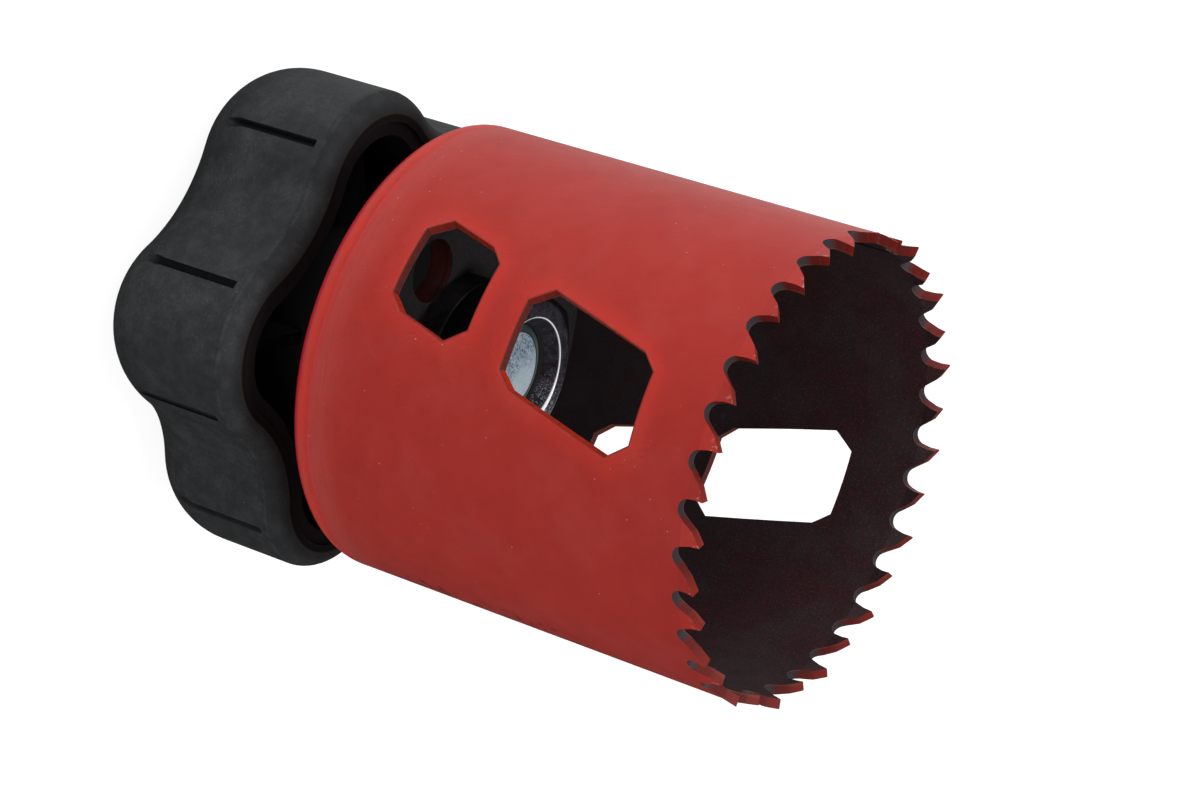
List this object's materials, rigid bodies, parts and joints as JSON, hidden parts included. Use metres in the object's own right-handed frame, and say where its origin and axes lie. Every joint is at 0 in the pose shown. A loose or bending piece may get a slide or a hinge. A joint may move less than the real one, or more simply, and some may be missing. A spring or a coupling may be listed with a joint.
{
  "type": "hand-turned hole saw",
  "caption": "Red toothed cylinder saw cup with slanted chip windows, clamped by a bolt, washer and hex nut to a black lobed hand knob.",
  "frame": {"origin": "centre of the knob's closed face, which is the face it stands on", "axes": "+Z along the cup's axis, from the knob towards the toothed mouth; +X and +Y across it, with a row of windows facing -Y"},
  "size_m": [0.0563, 0.0574, 0.0819],
  "materials": {
    "red_paint": "satin",
    "black_plastic": "matte",
    "zinc_plate": "satin",
    "plain_steel": "polished"
  },
  "bodies": {
    "root": {"toothed_band": "red_paint", "back_plate": "red_paint", "lobed_knob": "black_plastic", "clamp_bolt": "zinc_plate", "thick_washer": "plain_steel", "hex_nut": "plain_steel"}
  },
  "joints": []
}
